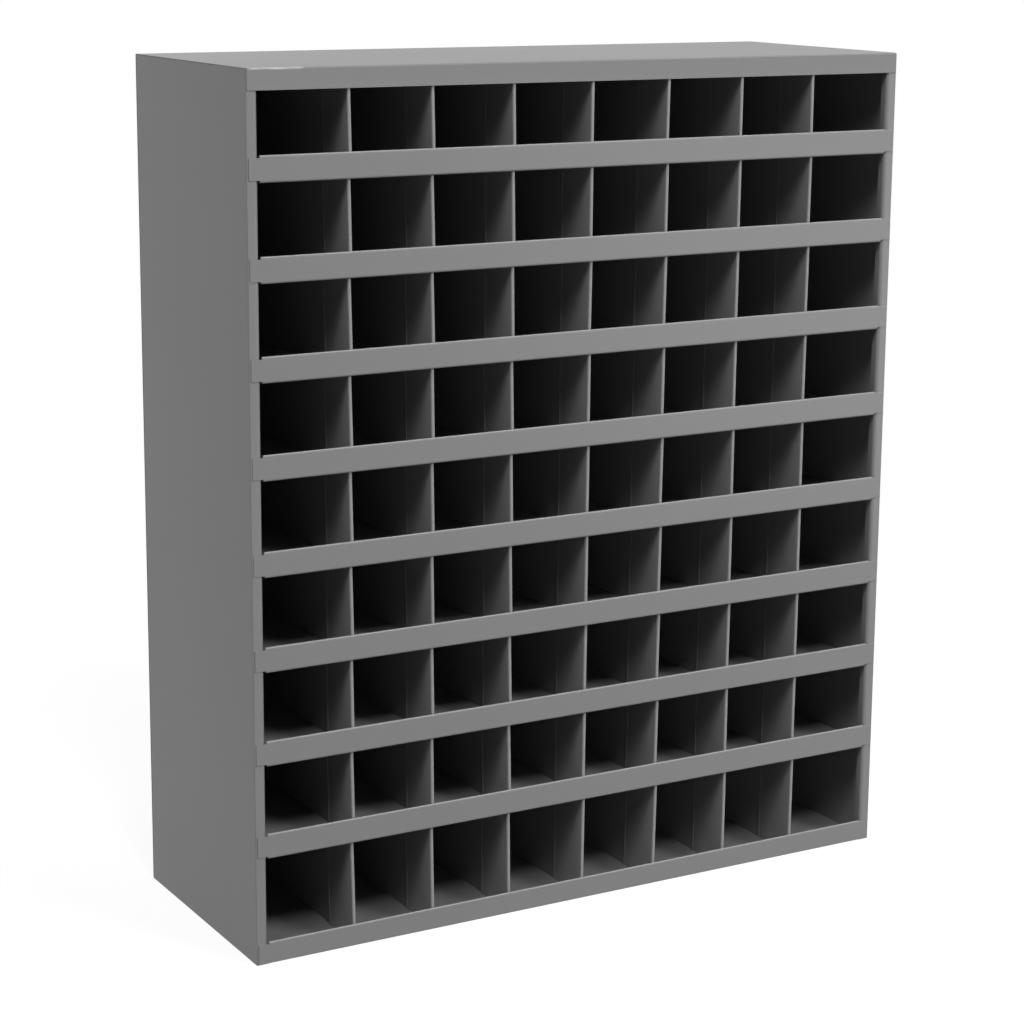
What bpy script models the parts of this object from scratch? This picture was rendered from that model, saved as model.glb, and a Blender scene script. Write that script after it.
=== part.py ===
# Bolt bin cabinet: an open-fronted steel cabinet of small bins, folded from sheet and welded.
# Metres, +Z up, front facing -Y, origin at the middle of the base.
import math

import bmesh
import bpy
from mathutils import Matrix, Vector

# Overall size
overall_width = 0.9144
overall_depth = 0.3302
overall_height = 1.0668

# Sheet, and the gap that welded neighbours keep
sheet = 0.001
fit_gap = 0.0003

# Layout of the bins
columns = 8
rows = 9
panel_count = 5
end_bin_reach = 0.1303
lowest_shelf_rise = 0.1327
highest_shelf_drop = 0.1291

# Front lip of a shelf, and its ears over the stiles
lip_height = 0.0314
bottom_lip_height = 0.0279
lip_fold_radius = 0.0025
hem_slit = 0.0006
hem_leg = 0.008
relief_width = 0.0015
ear_drop = 0.003
ear_lift = 0.0029
ear_inset = 0.0023
shelf_rear_flange = 0.012

# Top panel
top_flange = 0.0252
top_fold_radius = 0.002

# Side panels
stile_width = 0.0145
stile_leg = 0.0115
stile_fold_radius = 0.0028
side_fold_radius = 0.0018
side_rear_flange = 0.014
rear_fold_radius = 0.0015

# Dividers: nose width, hem leg on the left face, and the strip that ties two of them into one piece
divider_nose = 0.0047
divider_hem = 0.066
tie_height = 0.012
tie_inset = 0.0006
tie_rise = 0.001
most_pieces = 60

# Facets of a fold, the angle above which an edge stays sharp, and the distance at which points merge
fold_steps = 4
nose_steps = 5
sharp_angle = math.radians(35)
merge_distance = 1e-6

# Reference planes
half_width = overall_width / 2
front = -overall_depth / 2
back = overall_depth / 2
stile_face = front + sheet + fit_gap
flange_face = back - sheet - fit_gap
lip_back = front + 2 * sheet + hem_slit
divider_front = lip_back + fit_gap
divider_back = flange_face - sheet - fit_gap

# Shelf levels are undersides, from the top shelf down
shelf_count = rows - 1
highest_shelf = overall_height - highest_shelf_drop
shelf_pitch = (highest_shelf - lowest_shelf_rise) / (shelf_count - 1)
shelf_levels = [highest_shelf - shelf_pitch * n for n in range(shelf_count)]

# Divider places, from the left
divider_count = columns - 1
bin_pitch = (overall_width - 2 * end_bin_reach) / (divider_count - 1)
divider_places = [end_bin_reach - half_width + bin_pitch * n for n in range(divider_count)]

# Paint: linear colour, roughness, metallic
paint = ((0.235, 0.235, 0.238), 0.45, 0.0)

# Local axes of a section: along Z it lies in XY, along X it lies in YZ
along_z = Matrix.Identity(4)
along_x = Matrix(((0, 0, 1, 0), (1, 0, 0, 0), (0, 1, 0, 0), (0, 0, 0, 1)))

for thing in list(bpy.data.objects):
    bpy.data.objects.remove(thing, do_unlink=True)

cabinet = bpy.data.collections.new("bolt_bin_cabinet")
bpy.context.scene.collection.children.link(cabinet)


def arc_through(before, corner, after, radius, steps):
    # Points and left-hand normals of the arc that rounds one corner of a path.
    along = (corner - before).normalized()
    onward = (after - corner).normalized()
    turn = math.atan2(along.x * onward.y - along.y * onward.x, along.dot(onward))
    left = Vector((-along.y, along.x))
    start = corner - along * radius * math.tan(abs(turn) / 2)
    centre = start + left * math.copysign(radius, turn)
    spins = [Matrix.Rotation(turn * n / steps, 2) for n in range(steps + 1)]
    return [(centre + spin @ (start - centre), spin @ left) for spin in spins]


def folded_outline(corners, radii, steps=fold_steps):
    # Closed outline of a folded sheet, from the middle line's corners and each fold's middle radius.
    points = [Vector(corner) for corner in corners]
    ends = [(points[1] - points[0]).normalized(), (points[-1] - points[-2]).normalized()]
    normals = [Vector((-end.y, end.x)) for end in ends]
    path = [(points[0], normals[0])]
    for before, corner, after, radius in zip(points, points[1:], points[2:], radii):
        path += arc_through(before, corner, after, radius, steps)
    path.append((points[-1], normals[1]))
    left = [point + normal * sheet / 2 for point, normal in path]
    right = [point - normal * sheet / 2 for point, normal in path]
    outline = left + right[::-1]
    return [p for p, q in zip(outline, outline[1:] + outline[:1]) if (p - q).length > merge_distance]


def prism(outline, length, axes, middle=0.0):
    # Closed mesh of a flat outline, filled and drawn out along its axis about a middle point.
    curve = bpy.data.curves.new("section", "CURVE")
    curve.dimensions = "2D"
    curve.fill_mode = "BOTH"
    curve.extrude = length / 2
    spline = curve.splines.new("POLY")
    spline.points.add(len(outline) - 1)
    for point, place in zip(spline.points, outline):
        point.co = (place[0], place[1], 0, 1)
    spline.use_cyclic_u = True
    drawn = bpy.data.objects.new("section", curve)
    cabinet.objects.link(drawn)
    drawn.matrix_world = axes @ Matrix.Translation((0, 0, middle))
    graph = bpy.context.evaluated_depsgraph_get()
    mesh = bpy.data.meshes.new_from_object(drawn.evaluated_get(graph))
    shape = bmesh.new()
    shape.from_mesh(mesh)
    shape.transform(drawn.matrix_world)
    bmesh.ops.remove_doubles(shape, verts=shape.verts, dist=merge_distance)
    bmesh.ops.recalc_face_normals(shape, faces=shape.faces)
    shape.to_mesh(mesh)
    shape.free()
    bpy.data.objects.remove(drawn)
    return mesh


def block(low, high):
    # Closed box between two corners.
    mesh = bpy.data.meshes.new("block")
    shape = bmesh.new()
    bmesh.ops.create_cube(shape, size=1.0)
    size = Vector(high) - Vector(low)
    bmesh.ops.scale(shape, vec=size, verts=shape.verts)
    bmesh.ops.translate(shape, vec=Vector(low) + size / 2, verts=shape.verts)
    shape.to_mesh(mesh)
    shape.free()
    return mesh


def combine(mesh, others, operation):
    # One mesh with the others cut away from it or joined to it.
    base = bpy.data.objects.new("base", mesh)
    tools = [bpy.data.objects.new("tool", other) for other in others]
    for thing in [base] + tools:
        cabinet.objects.link(thing)
    for tool in tools:
        step = base.modifiers.new("step", "BOOLEAN")
        step.operation = operation
        step.object = tool
    graph = bpy.context.evaluated_depsgraph_get()
    result = bpy.data.meshes.new_from_object(base.evaluated_get(graph))
    for thing in [base] + tools:
        bpy.data.objects.remove(thing)
    return result


def painted(name, mesh, place=(0, 0, 0)):
    # Finished piece: its own object with its own paint, placed in the cabinet.
    colour, roughness, metallic = paint
    material = bpy.data.materials.new(name + "_paint")
    material.use_nodes = True
    shader = material.node_tree.nodes["Principled BSDF"]
    shader.inputs["Base Color"].default_value = (*colour, 1)
    shader.inputs["Roughness"].default_value = roughness
    shader.inputs["Metallic"].default_value = metallic
    piece = bpy.data.objects.new(name, mesh)
    piece.location = place
    cabinet.objects.link(piece)
    piece.material_slots[0].link = "OBJECT"
    piece.material_slots[0].material = material
    return piece


def smooth(mesh):
    # Rounded folds shade smooth, flat faces stay crisp; one slot holds the paint.
    mesh.shade_smooth()
    mesh.set_sharp_from_angle(angle=sharp_angle)
    mesh.materials.clear()
    mesh.materials.append(None)
    return mesh


def side_panel_mesh(side):
    # Plan section of a side: rear flange, web, front stile and the stile's return leg.
    outer = half_width - sheet / 2
    stile = half_width - stile_width + sheet / 2
    rear = flange_face - sheet / 2
    face = stile_face + sheet / 2
    corners = [
        (side * (half_width - side_rear_flange), rear),
        (side * outer, rear),
        (side * outer, face),
        (side * stile, face),
        (side * stile, stile_face + stile_leg),
    ]
    folds = [rear_fold_radius, side_fold_radius, stile_fold_radius]
    height = overall_height - sheet - fit_gap
    outline = folded_outline(corners, [fold - sheet / 2 for fold in folds])
    return smooth(prism(outline, height, along_z, height / 2))


def top_panel_mesh():
    # Side section of the top: front flange and the sheet that covers the cabinet.
    face = front + sheet / 2
    sheet_middle = overall_height - sheet / 2
    corners = [(face, overall_height - top_flange), (face, sheet_middle), (back, sheet_middle)]
    outline = folded_outline(corners, [top_fold_radius - sheet / 2])
    return smooth(prism(outline, overall_width, along_x))


def shelf_mesh(height, ear_floor):
    # Side section of a shelf: hem leg, lip, floor and rear flange, with its underside at zero.
    face = front + sheet / 2
    leg = lip_back - sheet / 2
    crest = height - sheet / 2
    rear = flange_face - sheet / 2
    corners = [
        (leg, height - hem_leg),
        (leg, crest),
        (face, crest),
        (face, sheet / 2),
        (rear, sheet / 2),
        (rear, shelf_rear_flange),
    ]
    hem_radius = (sheet + hem_slit) / 2
    fold = lip_fold_radius - sheet / 2
    rear_fold = rear_fold_radius - sheet / 2
    outline = folded_outline(corners, [hem_radius, hem_radius, fold, rear_fold])
    blank = prism(outline, overall_width, along_x)
    return smooth(combine(blank, shelf_cutters(height, ear_floor), "DIFFERENCE"))


def shelf_cutters(height, ear_floor):
    # What is cut from each end of a shelf: round the side panel in plan, and above and below the ear.
    beyond = overall_depth
    relief = half_width - stile_width - relief_width
    web = half_width - sheet - fit_gap
    rear_corner = half_width - side_rear_flange - fit_gap
    ear_back = front + sheet + hem_slit / 4
    ear_end = half_width - ear_inset
    leg_end = stile_face + stile_leg + fit_gap
    rear_stop = flange_face - sheet - fit_gap
    cutters = []
    for side in (-1, 1):
        plan = [
            (relief, ear_back),
            (relief, leg_end),
            (web, leg_end),
            (web, rear_stop),
            (rear_corner, rear_stop),
            (rear_corner, beyond),
            (half_width + beyond, beyond),
            (half_width + beyond, -beyond),
            (ear_end, -beyond),
            (ear_end, ear_back),
        ]
        cutters.append(prism([(side * x, y) for x, y in plan], 2 * beyond, along_z))
        ends = sorted((side * relief, side * (half_width + beyond)))
        low_stop = (ends[0], -beyond, -beyond)
        high_stop = (ends[1], leg_end, beyond)
        cutters.append(block((ends[0], -beyond, height - ear_drop), high_stop))
        if ear_floor > 0:
            cutters.append(block(low_stop, (ends[1], leg_end, ear_floor)))
    return cutters


def divider_mesh(height):
    # Plan section of a divider: hem leg, rounded nose and web, standing on zero with its nose at x = 0.
    nose_gap = divider_nose - sheet
    web = nose_gap / 2
    leg_end = web - sheet - fit_gap
    face = divider_front + sheet / 2
    lean = math.atan2(leg_end + web, divider_hem - sheet / 2)
    radius = nose_gap / (1 + math.tan(math.pi / 4 + lean / 2))
    corners = [(leg_end, divider_front + divider_hem), (-web, face), (web, face), (web, divider_back)]
    outline = folded_outline(corners, [radius, radius], nose_steps)
    return smooth(prism(outline, height, along_z, height / 2))


def divider_pair_mesh(height):
    # Two neighbours tied by a low strip at the back, with the left one's nose at x = 0.
    web = (divider_nose - sheet) / 2
    right = divider_mesh(height)
    right.transform(Matrix.Translation((bin_pitch, 0, 0)))
    strip_back = divider_back - tie_inset
    strip = block((web, strip_back - sheet, tie_rise), (web + bin_pitch, strip_back, tie_rise + tie_height))
    return smooth(combine(divider_mesh(height), [strip, right], "UNION"))


def divider_groups():
    # Numbers of the dividers in each piece of a row: pairs from the ends inwards, singles between.
    shell_pieces = panel_count + shelf_count
    pieces_per_row = (most_pieces - shell_pieces) // rows
    pairs = max(0, divider_count - pieces_per_row)
    left_pairs = (pairs + 1) // 2
    right_pairs = pairs // 2
    singles = range(2 * left_pairs, divider_count - 2 * right_pairs)
    groups = [(2 * n, 2 * n + 1) for n in range(left_pairs)]
    groups += [(n,) for n in singles]
    groups += [(singles.stop + 2 * n, singles.stop + 2 * n + 1) for n in range(right_pairs)]
    return groups


def build_shell():
    painted("left_side_panel", side_panel_mesh(-1))
    painted("right_side_panel", side_panel_mesh(1))
    painted("top_panel", top_panel_mesh())
    painted("bottom_panel", shelf_mesh(bottom_lip_height, 0))
    back_top = overall_height - sheet - fit_gap
    back_sheet = block((-half_width, back - sheet, 0), (half_width, back, back_top))
    painted("back_panel", smooth(back_sheet))


def build_shelves():
    mesh = shelf_mesh(lip_height, ear_lift)
    for number, level in enumerate(shelf_levels, 1):
        painted(f"shelf_{number}", mesh, (0, 0, level))


def build_dividers():
    ceilings = [overall_height - sheet] + shelf_levels
    floors = [level + sheet for level in shelf_levels] + [sheet]
    meshes = {}
    for row, (ceiling, floor) in enumerate(zip(ceilings, floors), 1):
        height = ceiling - floor - 2 * fit_gap
        size = round(height, 6)
        if size not in meshes:
            meshes[size] = divider_mesh(height), divider_pair_mesh(height)
        for group in divider_groups():
            place = (divider_places[group[0]], 0, floor + fit_gap)
            numbers = "_".join(str(n + 1) for n in group)
            painted(f"divider_row_{row}_no_{numbers}", meshes[size][len(group) - 1], place)


build_shell()
build_shelves()
build_dividers()
print("pieces", len(cabinet.objects))
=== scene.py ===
import math
import random

import bmesh
import bpy
from mathutils import Matrix, Vector


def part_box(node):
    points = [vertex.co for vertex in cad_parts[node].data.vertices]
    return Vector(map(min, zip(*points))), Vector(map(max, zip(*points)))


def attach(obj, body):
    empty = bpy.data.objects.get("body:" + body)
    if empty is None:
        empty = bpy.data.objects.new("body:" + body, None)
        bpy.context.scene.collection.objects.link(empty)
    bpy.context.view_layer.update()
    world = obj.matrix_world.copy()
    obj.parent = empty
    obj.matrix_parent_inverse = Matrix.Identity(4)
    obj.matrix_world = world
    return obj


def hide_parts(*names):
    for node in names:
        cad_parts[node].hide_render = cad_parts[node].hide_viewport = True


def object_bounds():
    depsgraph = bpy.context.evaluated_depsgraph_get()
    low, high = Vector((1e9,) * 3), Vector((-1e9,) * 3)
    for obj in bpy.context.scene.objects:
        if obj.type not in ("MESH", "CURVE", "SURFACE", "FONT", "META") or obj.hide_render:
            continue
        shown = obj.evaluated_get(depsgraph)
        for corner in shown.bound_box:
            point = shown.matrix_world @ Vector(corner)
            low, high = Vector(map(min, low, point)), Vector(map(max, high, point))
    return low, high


# Bolt bin cabinet in grey powder coat: folded sheet panels, lipped shelves and hemmed dividers
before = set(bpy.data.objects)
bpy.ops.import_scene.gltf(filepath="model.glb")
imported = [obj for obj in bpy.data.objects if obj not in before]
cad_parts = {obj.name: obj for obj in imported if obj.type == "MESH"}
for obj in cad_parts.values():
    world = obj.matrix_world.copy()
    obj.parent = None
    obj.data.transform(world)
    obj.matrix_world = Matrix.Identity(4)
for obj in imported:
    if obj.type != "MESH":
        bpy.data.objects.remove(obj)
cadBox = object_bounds()
print("frame loaded:", len(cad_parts), "nodes")

# what every folded sheet shares, in metres
sheetSettings = {
    "thickness": 0.001,
    "fitGap": 0.0003,
    "rimRound": 0.0002,
    "rimSegments": 2,
    "rimAngle": math.radians(60),
    "foldSegments": 6,
    "hemShare": 0.49,  # radius of a round hem as a share of its depth, just short of half
    "smoothAngle": math.radians(32),
    "sameSpot": 2e-5,  # points closer than this to a line count as on it
    "mergeDistance": 1e-6,
}

front = cadBox[0].y
back = cadBox[1].y
halfWidth = cadBox[1].x
topLevel = cadBox[1].z
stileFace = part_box("left_side_panel")[0].y
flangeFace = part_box("left_side_panel")[1].y


def near(value, target):
    return abs(value - target) < sheetSettings["sameSpot"]


def startSheet(name, low, high, facing):
    # a flat sheet between two corners, turned to face one way, ready in edit mode
    bpy.ops.object.select_all(action="DESELECT")
    size = Vector(high) - Vector(low)
    middle = (Vector(high) + Vector(low)) / 2
    turns = {"Z": (0, 0, 0), "X": (0, math.pi / 2, 0), "Y": (-math.pi / 2, 0, 0)}
    spans = {"Z": (size.x, size.y, 1), "X": (size.z, size.y, 1), "Y": (size.x, size.z, 1)}
    axis = facing[1]
    bpy.ops.mesh.primitive_plane_add(size=1, location=middle, rotation=turns[axis])
    piece = bpy.context.object
    piece.name = name
    piece.scale = spans[axis]
    bpy.ops.object.transform_apply(location=True, rotation=True, scale=True)
    bpy.ops.object.mode_set(mode="EDIT")
    if facing[0] == "-":
        bpy.ops.mesh.flip_normals()
    return piece


def pickEdges(piece, wanted):
    # selects the edges whose two ends both pass the test
    bpy.ops.mesh.select_mode(type="EDGE")
    bpy.ops.mesh.select_all(action="DESELECT")
    mesh = bmesh.from_edit_mesh(piece.data)
    for edge in mesh.edges:
        edge.select_set(all(wanted(v.co) for v in edge.verts))
    bmesh.update_edit_mesh(piece.data)


def pullEdges(piece, wanted, move):
    pickEdges(piece, wanted)
    bpy.ops.mesh.extrude_region_move(TRANSFORM_OT_translate={"value": move})


def foldEdges(piece, wanted, radius, segments=sheetSettings["foldSegments"]):
    pickEdges(piece, wanted)
    bpy.ops.mesh.bevel(offset=radius, offset_type="OFFSET", segments=segments, affect="EDGES")


def nudgeEdges(piece, wanted, move):
    pickEdges(piece, wanted)
    bpy.ops.transform.translate(value=move)


def cutAt(place, normal):
    bpy.ops.mesh.select_all(action="SELECT")
    bpy.ops.mesh.bisect(plane_co=place, plane_no=normal)


def dropFaces(piece, unwanted):
    bpy.ops.mesh.select_mode(type="FACE")
    bpy.ops.mesh.select_all(action="DESELECT")
    mesh = bmesh.from_edit_mesh(piece.data)
    for face in mesh.faces:
        face.select_set(unwanted(face.calc_center_median()))
    bmesh.update_edit_mesh(piece.data)
    bpy.ops.mesh.delete(type="FACE")


def applyAll(piece):
    for modifier in list(piece.modifiers):
        bpy.ops.object.modifier_apply(modifier=modifier.name)


def thickenSheet(piece):
    # gives the folded surface its gauge inwards, rounds the raw rims and keeps the flats flat
    bpy.ops.mesh.select_all(action="SELECT")
    bpy.ops.mesh.remove_doubles(threshold=sheetSettings["mergeDistance"])
    bpy.ops.object.mode_set(mode="OBJECT")
    gauge = piece.modifiers.new("gauge", "SOLIDIFY")
    gauge.thickness = sheetSettings["thickness"]
    gauge.offset = -1
    gauge.use_even_offset = True
    rims = piece.modifiers.new("rims", "BEVEL")
    rims.width = sheetSettings["rimRound"]
    rims.segments = sheetSettings["rimSegments"]
    rims.limit_method = "ANGLE"
    rims.angle_limit = sheetSettings["rimAngle"]
    applyAll(piece)
    bpy.ops.object.shade_smooth_by_angle(angle=sheetSettings["smoothAngle"])
    flats = piece.modifiers.new("flats", "WEIGHTED_NORMAL")
    flats.keep_sharp = True
    applyAll(piece)


def ease(value, start, stop):
    # nothing at start, all at stop
    return min(max((value - start) / (stop - start), 0), 1)


def markFoldHighlight(piece, amount):
    # notes on each point how much painted highlight its fold gets, for the paint
    foldHighlight = piece.data.attributes.new("foldHighlight", "FLOAT", "POINT")
    for point, note in zip(piece.data.vertices, foldHighlight.data):
        note.value = amount(point.co)


def fitPiece(piece, paint, *nodes):
    # hands a finished piece to the frame
    piece.data.materials.clear()
    piece.data.materials.append(paint)
    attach(piece, "root")
    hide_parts(*nodes)


def copyPiece(source, name, move):
    # a copy with its own mesh, its place in the mesh
    twin = source.copy()
    twin.data = source.data.copy()
    twin.data.transform(move)
    twin.name = name
    bpy.context.collection.objects.link(twin)
    return twin


# paint: neutral grey powder coat with a fine orange peel and a faint mottle
paintSettings = {
    "grey": 0.225,
    "mottle": 0.03,
    "mottleScale": 5.0,
    "mottleDetail": 5.0,
    "roughness": (0.285, 0.365),
    "specular": 0.35,
    "foldHighlightTone": 0.31,  # folds are painted paler than the coat, a painted highlight
    "foldHighlightScale": 140.0,
    "foldHighlightDetail": 3.0,
    "foldHighlightPatches": (0.3, 0.6, 0.75, 1.0),  # from and to in the noise, least and most of the painted highlight
    "peelScale": 420.0,
    "peelDetail": 3.0,
    "peelStrength": 0.10,
    "peelDepth": 0.0004,
    "waveScale": 7.0,
    "waveDetail": 1.0,
    "waveStrength": 0.06,
    "waveDepth": 0.004,
}


def plainGrey(value):
    return (value, value, value, 1)


def addNode(tree, kind, inputs=None, **values):
    node = tree.nodes.new(kind)
    for key, value in values.items():
        setattr(node, key, value)
    for key, value in (inputs or {}).items():
        node.inputs[key].default_value = value
    return node


def addMath(tree, operation, first, second=None):
    # first is a node's output, second an output, a plain number or nothing
    node = addNode(tree, "ShaderNodeMath", operation=operation)
    tree.links.new(first, node.inputs[0])
    if isinstance(second, (int, float)):
        node.inputs[1].default_value = second
    elif second is not None:
        tree.links.new(second, node.inputs[1])
    return node.outputs["Value"]


def addRamp(tree, source, start, stop, low=0.0, high=1.0):
    # eases from one number to another between two places
    ends = {"From Min": start, "From Max": stop, "To Min": low, "To Max": high}
    ramp = addNode(tree, "ShaderNodeMapRange", ends, interpolation_type="SMOOTHSTEP")
    tree.links.new(source, ramp.inputs["Value"])
    return ramp.outputs["Result"]


def addBump(tree, height, strength, depth):
    bump = addNode(tree, "ShaderNodeBump", {"Strength": strength, "Distance": depth})
    tree.links.new(height, bump.inputs["Height"])
    return bump


def addTint(tree, under, tint, share):
    # lays a plain colour over another one by a share
    mix = addNode(tree, "ShaderNodeMix", data_type="RGBA")
    mix.inputs["B"].default_value = tint
    tree.links.new(share, mix.inputs["Factor"])
    tree.links.new(under, mix.inputs["A"])
    return mix


def coverTone(tree, tint, share):
    # one more tint over the finished tone of a paint
    cover = addTint(tree, tree.nodes["tone"].outputs["Result"], tint, share)
    tree.links.new(cover.outputs["Result"], tree.nodes["Principled BSDF"].inputs["Base Color"])


def splitPlace(tree):
    # the three numbers of a point's place on the piece
    axes = addNode(tree, "ShaderNodeSeparateXYZ")
    tree.links.new(tree.nodes["coords"].outputs["Object"], axes.inputs["Vector"])
    return [axes.outputs[key] for key in "XYZ"]


def makePaint(name, settings):
    paint = bpy.data.materials.new(name)
    paint.use_nodes = True
    tree = paint.node_tree
    link = tree.links.new
    shader = tree.nodes["Principled BSDF"]
    coords = addNode(tree, "ShaderNodeTexCoord", name="coords")

    def addNoise(kind):
        sizes = {"Scale": settings[kind + "Scale"], "Detail": settings[kind + "Detail"]}
        noise = addNode(tree, "ShaderNodeTexNoise", sizes)
        link(coords.outputs["Object"], noise.inputs["Vector"])
        return noise.outputs["Fac"]

    # slow change of tone over the sheet
    mottle = addNoise("mottle")
    coat = addNode(tree, "ShaderNodeMix", data_type="RGBA")
    coat.inputs["A"].default_value = plainGrey(settings["grey"] * (1 - settings["mottle"]))
    coat.inputs["B"].default_value = plainGrey(settings["grey"] * (1 + settings["mottle"]))
    link(mottle, coat.inputs["Factor"])

    # painted highlight: paler on the folds marked for it, a little patchy
    foldHighlight = addNode(tree, "ShaderNodeAttribute", attribute_name="foldHighlight")
    patches = addRamp(tree, addNoise("foldHighlight"), *settings["foldHighlightPatches"])
    paintedHighlight = addMath(tree, "MULTIPLY", foldHighlight.outputs["Fac"], patches)
    tone = addTint(tree, coat.outputs["Result"], plainGrey(settings["foldHighlightTone"]), paintedHighlight)
    tone.name = "tone"
    link(tone.outputs["Result"], shader.inputs["Base Color"])

    # sheen that wanders a little, as powder coat flows unevenly
    smoothest, roughest = settings["roughness"]
    gloss = addNode(tree, "ShaderNodeMapRange", {"To Min": smoothest, "To Max": roughest})
    link(mottle, gloss.inputs["Value"])
    link(gloss.outputs["Result"], shader.inputs["Roughness"])
    shader.inputs["Specular IOR Level"].default_value = settings["specular"]

    # orange peel over the slight waves of a rolled sheet
    waves = addBump(tree, addNoise("wave"), settings["waveStrength"], settings["waveDepth"])
    waves.name = "waves"
    peel = addBump(tree, addNoise("peel"), settings["peelStrength"], settings["peelDepth"])
    link(waves.outputs["Normal"], peel.inputs["Normal"])
    link(peel.outputs["Normal"], shader.inputs["Normal"])
    return paint


greyPaint = makePaint("greyPowderCoat", paintSettings)
print("paint mixed")

# side panels: web, front stile with a return leg, rear flange
sideSettings = {
    "stileWidth": 0.0145,
    "stileLeg": 0.0115,
    "rearFlange": 0.014,
    "cornerRadius": 0.0012,
    "stileRadius": 0.005,
    "rearRadius": 0.0015,
    "seamLift": 0.00025,  # closes the seams under the top, the flange and the ears
}


def buildSide(name, node, side):
    low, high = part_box(node)
    outer = side * halfWidth
    stileEdge = outer - side * sideSettings["stileWidth"]
    facing = "+X" if side > 0 else "-X"
    seat = stileFace - sideSettings["seamLift"]
    crown = high.z + sideSettings["seamLift"]
    piece = startSheet(name, (outer, seat, low.z), (outer, flangeFace, crown), facing)
    pullEdges(piece, lambda p: near(p.y, seat), (stileEdge - outer, 0, 0))
    pullEdges(piece, lambda p: near(p.x, stileEdge), (0, sideSettings["stileLeg"], 0))
    pullEdges(piece, lambda p: near(p.y, flangeFace), (-side * sideSettings["rearFlange"], 0, 0))
    foldEdges(piece, lambda p: near(p.x, outer) and near(p.y, seat), sideSettings["cornerRadius"])
    foldEdges(piece, lambda p: near(p.x, stileEdge) and near(p.y, seat), sideSettings["stileRadius"])
    foldEdges(piece, lambda p: near(p.x, outer) and near(p.y, flangeFace), sideSettings["rearRadius"])
    thickenSheet(piece)
    fitPiece(piece, greyPaint, node)


buildSide("leftSide", "left_side_panel", -1)
buildSide("rightSide", "right_side_panel", 1)
print("sides folded")

# top panel: one sheet with a slightly hollow flange turned down over the stiles
topSettings = {
    "foldRadius": 0.002,
    "flangeTrim": 0.0012,
    "flangeBow": 0.00025,
    "bowSteps": 8,
    "roughness": (0.55, 0.66),  # duller than the rest, as a top gathers dust
    # painted highlight: a pale cool-white streak along the front fold near its left end
    "glintStart": -0.456,
    "glintStop": -0.384,
    "glintFade": 0.008,
    "glintDepth": 0.003,
    "glintCrest": 0.001,  # at its full strength from this far under the top
    "glintTint": (0.56, 0.60, 0.64, 1),
    "glintGrain": (60.0, 900.0, 900.0),
    "glintDetail": 3.0,
    "glintStreaks": (0.3, 0.6),
}


def addPaintedGlint(paint):
    # painted highlight: eases the tone towards a cool white in streaks along the fold
    tree = paint.node_tree
    link = tree.links.new
    x, y, z = splitPlace(tree)
    start, stop = topSettings["glintStart"], topSettings["glintStop"]
    fade, depth = topSettings["glintFade"], topSettings["glintDepth"]
    along = addMath(tree, "MULTIPLY", addRamp(tree, x, start, start + fade),
                    addRamp(tree, x, stop - fade, stop, 1, 0))
    across = addMath(tree, "MULTIPLY", addRamp(tree, y, front, front + depth, 1, 0),
                     addRamp(tree, z, topLevel - depth, topLevel - topSettings["glintCrest"]))
    grain = addNode(tree, "ShaderNodeMapping", {"Scale": topSettings["glintGrain"]})
    noise = addNode(tree, "ShaderNodeTexNoise", {"Scale": 1.0, "Detail": topSettings["glintDetail"]})
    link(tree.nodes["coords"].outputs["Object"], grain.inputs["Vector"])
    link(grain.outputs["Vector"], noise.inputs["Vector"])
    streaks = addRamp(tree, noise.outputs["Fac"], *topSettings["glintStreaks"])
    highlighted = addMath(tree, "MULTIPLY", addMath(tree, "MULTIPLY", along, across), streaks)
    coverTone(tree, topSettings["glintTint"], highlighted)


def buildTop():
    low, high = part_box("top_panel")
    trim = topSettings["flangeTrim"]
    radius = topSettings["foldRadius"]
    notch = front + radius + sheetSettings["fitGap"]
    piece = startSheet("topPanel", (low.x, low.y, high.z), (high.x, high.y, high.z), "+Z")
    for x in (low.x + trim, high.x - trim):
        cutAt((x, 0, 0), (1, 0, 0))
    cutAt((0, notch, 0), (0, 1, 0))
    dropFaces(piece, lambda p: abs(p.x) > high.x - trim and p.y < notch)
    pullEdges(piece, lambda p: near(p.y, front), (0, 0, low.z - high.z))
    foldEdges(piece, lambda p: near(p.y, front) and near(p.z, topLevel), radius)

    # the flange springs a little hollow between its fold and its free edge
    drop = topLevel - radius - low.z
    for step in range(1, topSettings["bowSteps"]):
        share = step / topSettings["bowSteps"]
        level = low.z + share * drop
        cutAt((0, 0, level), (0, 0, 1))
        sink = topSettings["flangeBow"] * 4 * share * (1 - share)  # all of it half way
        nudgeEdges(piece, lambda p: near(p.z, level) and near(p.y, front), (0, sink, 0))
    thickenSheet(piece)
    topPaint = makePaint("topPowderCoat", {**paintSettings, "roughness": topSettings["roughness"]})
    # a painted highlight streak on the front fold
    addPaintedGlint(topPaint)
    fitPiece(piece, topPaint, "top_panel")


buildTop()

# back panel: plain sheet with rows of faint weld dimples over the flanges behind it, their hollows
# darkened with painted shade
backSettings = {
    "weldPitch": 0.10897,
    "weldRadius": 0.0055,
    "weldFlat": 0.6,  # share of the radius that is flat and deepest
    "weldDepth": 0.0007,
    "weldShade": (0.4, 0.16),  # share and tone of the painted shade in a dimple
    "rowPitch": 0.115,
    "rowHeight": 0.006,
    "edgeInset": 0.007,
    "edgeBand": 0.02,
}


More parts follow.
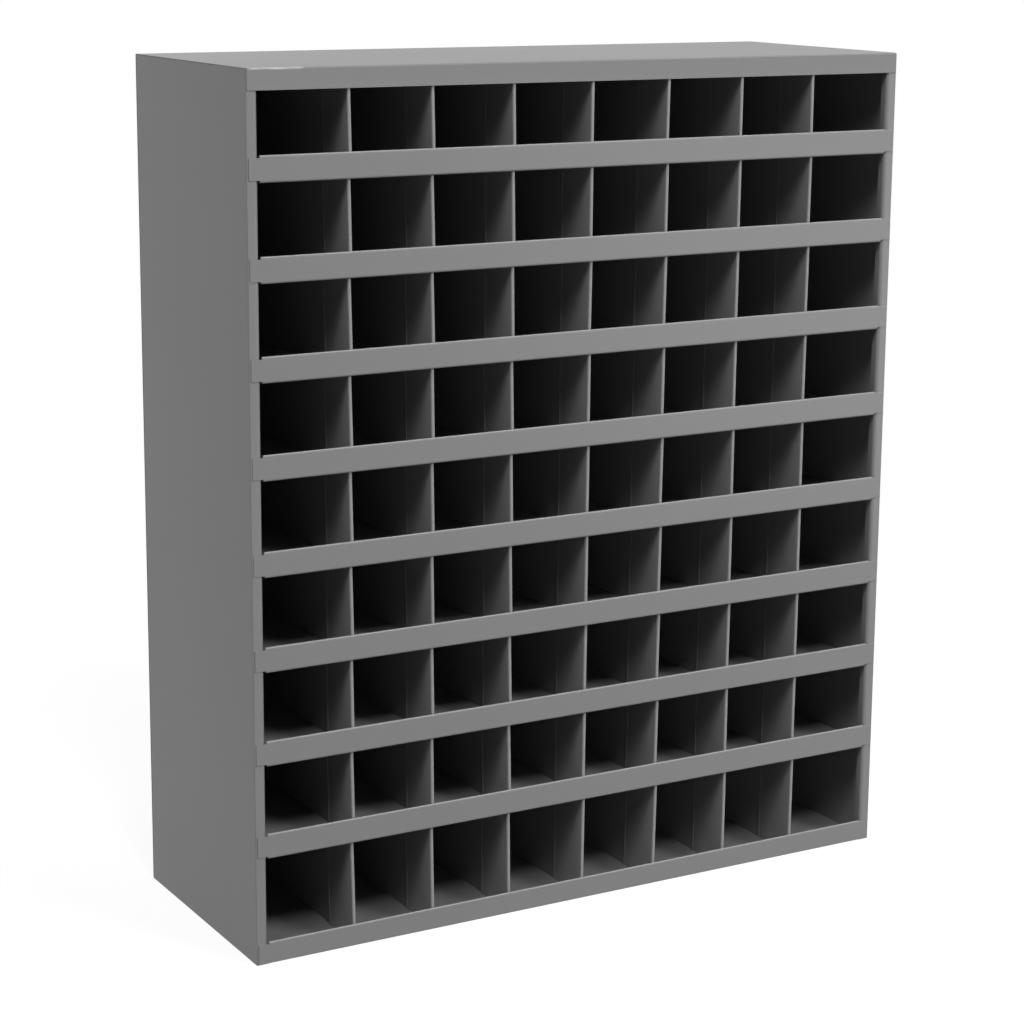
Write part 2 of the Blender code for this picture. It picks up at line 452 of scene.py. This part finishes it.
def addWelds(paint):
    # a lattice of shallow round dimples, and one more column down each side flange
    tree = paint.node_tree
    x, _, z = splitPlace(tree)
    weldPitch, rowPitch = backSettings["weldPitch"], backSettings["rowPitch"]
    radius = backSettings["weldRadius"]
    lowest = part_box("shelf_8")[0].z + backSettings["rowHeight"]  # on the lowest shelf's flange

    def offset(source, pitch, start):
        # distance to the nearest step of a row of equal steps
        steps = addMath(tree, "DIVIDE", addMath(tree, "SUBTRACT", source, start), pitch)
        rest = addMath(tree, "SUBTRACT", steps, addMath(tree, "ROUND", steps))
        return addMath(tree, "MULTIPLY", rest, pitch)

    def dimple(across, up):
        # nothing in the middle, one outside
        squares = addMath(tree, "ADD", addMath(tree, "POWER", across, 2), addMath(tree, "POWER", up, 2))
        return addRamp(tree, addMath(tree, "SQRT", squares), radius * backSettings["weldFlat"], radius)

    side = addMath(tree, "ABSOLUTE", x)
    rows = dimple(offset(x, weldPitch, weldPitch / 2), offset(z, rowPitch, lowest))
    edges = dimple(addMath(tree, "SUBTRACT", side, halfWidth - backSettings["edgeInset"]),
                   offset(z, rowPitch, lowest + rowPitch / 2))
    inBand = addMath(tree, "GREATER_THAN", side, halfWidth - backSettings["edgeBand"])
    rows = addMath(tree, "MAXIMUM", rows, inBand)
    height = addMath(tree, "MULTIPLY", rows, edges)
    welds = addBump(tree, height, 1.0, backSettings["weldDepth"])
    tree.links.new(welds.outputs["Normal"], tree.nodes["waves"].inputs["Normal"])
    # painted shade: each dimple's hollow is darkened
    share, dimpleShade = backSettings["weldShade"]
    coverTone(tree, plainGrey(dimpleShade), addRamp(tree, height, 0, 1, share, 0))


def buildBack():
    low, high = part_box("back_panel")
    piece = startSheet("backPanel", (low.x, back, low.z), (high.x, back, high.z), "+Y")
    thickenSheet(piece)
    backPaint = makePaint("backPowderCoat", paintSettings)
    addWelds(backPaint)
    fitPiece(piece, backPaint, "back_panel")


buildBack()
print("top and back folded")

# shelves: hemmed lip, flat ears over the stiles, floor and rear flange
shelfSettings = {
    "hemDepth": 0.0026,
    "hemLeg": 0.008,
    "lipRadius": 0.0025,
    "rearRadius": 0.0015,
    "rearFlange": 0.012,
    "reliefWidth": 0.0015,
    "earInset": 0.0023,
    "earDrop": {-1: 0.003, 1: 0.0015},  # left ears stop lower than right ones
    "earLift": 0.0029,
    "footLift": 0.0005,
    # the hem's painted highlight starts this far under the top and is full this far under it
    "hemHighlightDepth": 0.003,
    "hemHighlightCrest": 0.00065,
}


def pullEar(piece, side, relief, foot, crest, ground):
    # a flat ear out of one end of the lip, and down to the ground where one is given
    gap = sheetSettings["fitGap"]
    reach = halfWidth - shelfSettings["earInset"] - relief

    def atEnd(p):
        return near(p.x, side * relief) and near(p.y, front) and foot - gap < p.z < crest + gap

    def atFoot(p):
        return near(p.y, front) and near(p.z, foot) and side * p.x > relief - gap

    for z in (foot, crest):
        cutAt((0, 0, z), (0, 0, 1))
    pullEdges(piece, atEnd, (side * reach, 0, 0))
    if ground is not None:
        pullEdges(piece, atFoot, (0, 0, ground - foot))


def foldShelf(name, node, onGround):
    low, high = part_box(node)
    hem = shelfSettings["hemDepth"]
    hemBack = front + hem
    thickness = sheetSettings["thickness"]
    gap = sheetSettings["fitGap"]
    piece = startSheet(name, (-halfWidth, front, low.z), (halfWidth, flangeFace, low.z), "-Z")
    pullEdges(piece, lambda p: near(p.y, front), (0, 0, high.z - low.z))
    pullEdges(piece, lambda p: near(p.z, high.z), (0, hem, 0))
    pullEdges(piece, lambda p: near(p.y, hemBack), (0, 0, -shelfSettings["hemLeg"]))
    pullEdges(piece, lambda p: near(p.y, flangeFace), (0, 0, shelfSettings["rearFlange"]))
    foldEdges(piece, lambda p: near(p.z, high.z), hem * sheetSettings["hemShare"])
    foldEdges(piece, lambda p: near(p.y, front) and near(p.z, low.z), shelfSettings["lipRadius"])
    foldEdges(piece, lambda p: near(p.y, flangeFace) and near(p.z, low.z), shelfSettings["rearRadius"])

    # trim the ends round the side panels
    relief = halfWidth - sideSettings["stileWidth"] - shelfSettings["reliefWidth"]
    web = halfWidth - thickness - gap
    rearCorner = halfWidth - sideSettings["rearFlange"] - gap
    legEnd = stileFace + sideSettings["stileLeg"] + gap
    rearStop = flangeFace - thickness - gap
    for x in (relief, web, rearCorner):
        cutAt((x, 0, 0), (1, 0, 0))
        cutAt((-x, 0, 0), (1, 0, 0))
    for y in (legEnd, rearStop):
        cutAt((0, y, 0), (0, 1, 0))
    dropFaces(piece, lambda p: abs(p.x) > relief and p.y < legEnd)
    dropFaces(piece, lambda p: abs(p.x) > web)
    dropFaces(piece, lambda p: abs(p.x) > rearCorner and p.y > rearStop)

    earFoot = low.z + shelfSettings["lipRadius" if onGround else "earLift"]
    ground = low.z + shelfSettings["footLift"] if onGround else None
    for side, drop in shelfSettings["earDrop"].items():
        pullEar(piece, side, relief, earFoot, high.z - drop, ground)
    thickenSheet(piece)
    # a painted highlight along the hem's top roll
    hemHighlightFoot = high.z - shelfSettings["hemHighlightDepth"]
    hemHighlightCrest = high.z - shelfSettings["hemHighlightCrest"]
    markFoldHighlight(piece, lambda p: ease(p.z, hemHighlightFoot, hemHighlightCrest))
    return piece


def buildShelves():
    fitPiece(foldShelf("bottomPanel", "bottom_panel", True), greyPaint, "bottom_panel")
    names = sorted(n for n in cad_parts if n.startswith("shelf_"))
    first = foldShelf("shelf1", names[0], False)
    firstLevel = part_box(names[0])[0].z
    for number, node in enumerate(names[1:], 2):
        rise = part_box(node)[0].z - firstLevel
        fitPiece(copyPiece(first, f"shelf{number}", Matrix.Translation((0, 0, rise))), greyPaint, node)
    fitPiece(first, greyPaint, names[0])
    return len(names)


print("shelves folded:", buildShelves())

# dividers: flat web, round nose and a long hem leg on the left face, its end a little proud
dividerSettings = {
    "nose": 0.0047,
    "noseSegments": 7,
    "hemLeg": 0.070,
    "flare": 0.0010,
    "flareDepth": 0.0022,
    "flareHighlight": 0.6,
    "noseHighlight": 0.38,  # the nose gets the full painted highlight this far back, as a share of its width
    "faceHighlightReach": 0.028,  # faces get a painted highlight this far in, less and less
    "faceHighlightShare": 0.6,
    "highlightFadeTop": 0.02,  # the painted highlight fades out over this much of the top end, a painted shade under the shelf above
    "leans": (-0.021, -0.021, -0.018, 0.007, 0.015, 0.009, 0.007),  # by column, for a metre of rise
    "leanSlack": 0.006,
    "seed": 7,
}


def foldDivider(name, height):
    # stands on zero with its nose centred on x = 0
    low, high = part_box("divider_row_1_no_3")  # all are as deep as this one
    nose = dividerSettings["nose"]
    radius = nose * sheetSettings["hemShare"]
    right = nose / 2
    legEnd = right - 2 * sheetSettings["thickness"] - sheetSettings["fitGap"]
    flare, flareDepth = dividerSettings["flare"], dividerSettings["flareDepth"]
    legRun = dividerSettings["hemLeg"] - flareDepth
    piece = startSheet(name, (right, low.y, 0), (right, high.y, height), "+X")
    pullEdges(piece, lambda p: near(p.y, low.y), (-nose, 0, 0))
    pullEdges(piece, lambda p: near(p.x, -right), (legEnd + right, legRun, 0))
    pullEdges(piece, lambda p: near(p.x, legEnd), (-flare, flareDepth, 0))
    foldEdges(piece, lambda p: near(p.y, low.y), radius, dividerSettings["noseSegments"])

    # painted highlight on the nose, less on the faces behind it, and along the leg's proud end; faded out
    # at the top end as painted shade
    noseBack = low.y + radius
    noseFront = low.y + nose * dividerSettings["noseHighlight"]
    faceHighlightEnd = low.y + dividerSettings["faceHighlightReach"]
    highlightFadeTop = height - dividerSettings["highlightFadeTop"]
    flareEnd = low.y + dividerSettings["hemLeg"]
    flareStart = flareEnd - flareDepth / 2
    cutAt((0, faceHighlightEnd, 0), (0, 1, 0))
    cutAt((0, 0, highlightFadeTop), (0, 0, 1))
    thickenSheet(piece)

    def highlighted(p):
        if p.x < legEnd and flareStart < p.y < flareEnd + sheetSettings["thickness"]:
            return dividerSettings["flareHighlight"] * ease(p.y, flareStart, flareEnd)
        onFace = dividerSettings["faceHighlightShare"] * ease(p.y, faceHighlightEnd, noseBack)
        onNose = ease(p.y, noseBack, noseFront)
        return max(onFace, onNose) * ease(p.z, height, highlightFadeTop)

    markFoldHighlight(piece, highlighted)
    return piece


def buildDividers():
    random.seed(dividerSettings["seed"])
    halfNose = dividerSettings["nose"] / 2
    masters = {}
    count = 0
    for node in sorted(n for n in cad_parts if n.startswith("divider_row_")):
        low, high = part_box(node)
        words = node.split("_")  # divider, row, its number, no, then one or two dividers' numbers
        row = int(words[2])
        numbers = [int(word) for word in words[4:]]
        places = (low.x + halfNose, high.x - halfNose)
        height = round(high.z - low.z, 5)  # rows of one height share a master
        if height not in masters:
            masters[height] = foldDivider(f"dividerMaster{len(masters)}", height)
        for number, x in zip(numbers, places):
            # each leans as its column does, and a little of its own, about its middle
            own = random.uniform(-1, 1) * dividerSettings["leanSlack"]
            lean = Matrix.Identity(4)
            lean[0][2] = dividerSettings["leans"][number - 1] + own
            lean[0][3] = -lean[0][2] * height / 2
            move = Matrix.Translation((x, 0, low.z)) @ lean
            twin = copyPiece(masters[height], f"divider{row}of{number}", move)
            fitPiece(twin, greyPaint, node)
            count += 1
    for master in masters.values():
        bpy.data.objects.remove(master)
    return count


print("dividers folded:", buildDividers())

# floor: pale, white to the eye away from the cabinet, with the shadow kept near it
floorSettings = {
    "size": 60.0,
    "drop": 0.0002,  # just under the cabinet
    "albedo": 0.85,
    "bounce": 0.25,  # what the paint gets back from it
    "glow": 0.45,
    "shadowShare": 0.3,
    "shadowReach": (0.6, 1.7),
}


def mixShaders(tree, share, under, over):
    mix = addNode(tree, "ShaderNodeMixShader")
    for source, socket in zip((share, under, over), mix.inputs):
        tree.links.new(source, socket)
    return mix.outputs["Shader"]


def addSeenRays(tree):
    # one for what is looked at, straight on or in a reflection, and nothing for other light
    rays = addNode(tree, "ShaderNodeLightPath").outputs
    direct = addMath(tree, "MAXIMUM", rays["Is Camera Ray"], rays["Is Glossy Ray"])
    return addMath(tree, "MAXIMUM", direct, rays["Is Transmission Ray"])


def buildFloor():
    bpy.ops.object.select_all(action="DESELECT")
    bpy.ops.mesh.primitive_plane_add(size=floorSettings["size"], location=(0, 0, -floorSettings["drop"]))
    floor = bpy.context.object
    floor.name = "studioFloor"
    bpy.ops.object.transform_apply(location=True)
    material = bpy.data.materials.new("paleFloor")
    material.use_nodes = True
    tree = material.node_tree
    link = tree.links.new
    tree.nodes.remove(tree.nodes["Principled BSDF"])
    coords = addNode(tree, "ShaderNodeTexCoord")
    reach = addNode(tree, "ShaderNodeVectorMath", operation="LENGTH")
    link(coords.outputs["Object"], reach.inputs[0])
    start, stop = floorSettings["shadowReach"]
    shadow = addRamp(tree, reach.outputs["Value"], start, stop, floorSettings["shadowShare"], 0)
    plain = addNode(tree, "ShaderNodeBsdfDiffuse", {"Color": plainGrey(floorSettings["albedo"])})
    dull = addNode(tree, "ShaderNodeBsdfDiffuse", {"Color": plainGrey(floorSettings["bounce"])})
    glow = addNode(tree, "ShaderNodeEmission", {"Color": plainGrey(1), "Strength": floorSettings["glow"]})
    white = addNode(tree, "ShaderNodeEmission", {"Color": plainGrey(1), "Strength": 1.0})
    lifted = addNode(tree, "ShaderNodeAddShader")
    link(plain.outputs["BSDF"], lifted.inputs[0])
    link(glow.outputs["Emission"], lifted.inputs[1])
    seen = mixShaders(tree, shadow, white.outputs["Emission"], lifted.outputs["Shader"])
    final = mixShaders(tree, addSeenRays(tree), dull.outputs["BSDF"], seen)
    link(final, tree.nodes["Material Output"].inputs["Surface"])
    floor.data.materials.append(material)


buildFloor()
print("floor laid")

# light: white all round to the eye, and soft boxes alone for the paint
lightSettings = {
    "ambient": 0.0,
    "aim": (0, 0, 0.5),
    "boxes": {
        "key": {"place": (-2.57, -11.2, 13.0), "size": 3.0, "watts": 705},
        "leftTall": {"place": (-6.0, -4.5, 8.75), "size": 3.0, "watts": 400},
        "frontRight": {"place": (3.75, -7.5, 5.0), "size": 3.0, "watts": 430},
        "rightLow": {"place": (1.6, -1.9, 0.4), "size": 1.2, "watts": 8},
        "rightTop": {"place": (4.0, -0.6, 7.0), "size": 2.0, "watts": 120},
        "rear": {"place": (0.1, 4.8, 3.7), "size": 2.0, "watts": 48},
        "rearRight": {"place": (3.6, 4.2, 4.2), "size": 2.0, "watts": 20},
        "rearLow": {"place": (1.8, 3.6, 0.5), "size": 0.9, "watts": 24},
    },
}


def buildWorld():
    world = bpy.data.worlds.new("studio")
    bpy.context.scene.world = world
    world.use_nodes = True
    tree = world.node_tree
    dim = tree.nodes["Background"]
    dim.inputs["Color"].default_value = plainGrey(1)
    dim.inputs["Strength"].default_value = lightSettings["ambient"]
    white = addNode(tree, "ShaderNodeBackground", {"Color": plainGrey(1), "Strength": 1.0})
    sky = mixShaders(tree, addSeenRays(tree), dim.outputs["Background"], white.outputs["Background"])
    tree.links.new(sky, tree.nodes["World Output"].inputs["Surface"])


def addSoftBox(name, settings):
    lamp = bpy.data.lights.new(name, "AREA")
    lamp.size = settings["size"]
    lamp.energy = settings["watts"]
    box = bpy.data.objects.new(name + "SoftBox", lamp)
    box.location = settings["place"]
    aim = Vector(lightSettings["aim"]) - Vector(settings["place"])
    box.rotation_euler = aim.to_track_quat("-Z", "Y").to_euler()
    bpy.context.scene.collection.objects.link(box)


buildWorld()
for name, settings in lightSettings["boxes"].items():
    addSoftBox(name, settings)
print("studio lit")

# camera: a little over the top of the cabinet, to the left, as photographed
cameraSettings = {
    "place": (-1.6289, -2.808, 1.2321),
    "turn": math.radians(29.87),
    "tilt": math.radians(-11.749),
    "roll": math.radians(0.453),
    "lens": 89.906,
    "sensor": 36.0,
    "shiftY": -0.06,
}


def buildCamera():
    lens = bpy.data.cameras.new("camera")
    lens.lens = cameraSettings["lens"]
    lens.sensor_width = cameraSettings["sensor"]
    lens.shift_y = cameraSettings["shiftY"]
    camera = bpy.data.objects.new("camera", lens)
    camera.location = cameraSettings["place"]
    turn, tilt = cameraSettings["turn"], cameraSettings["tilt"]
    ahead = Vector((math.sin(turn) * math.cos(tilt), math.cos(turn) * math.cos(tilt), math.sin(tilt)))
    look = ahead.to_track_quat("-Z", "Y").to_matrix().to_4x4()
    camera.rotation_euler = (look @ Matrix.Rotation(cameraSettings["roll"], 4, "Z")).to_euler()
    bpy.context.scene.collection.objects.link(camera)
    bpy.context.scene.camera = camera


buildCamera()
bpy.context.scene.view_settings.view_transform = "Standard"
print("camera set")
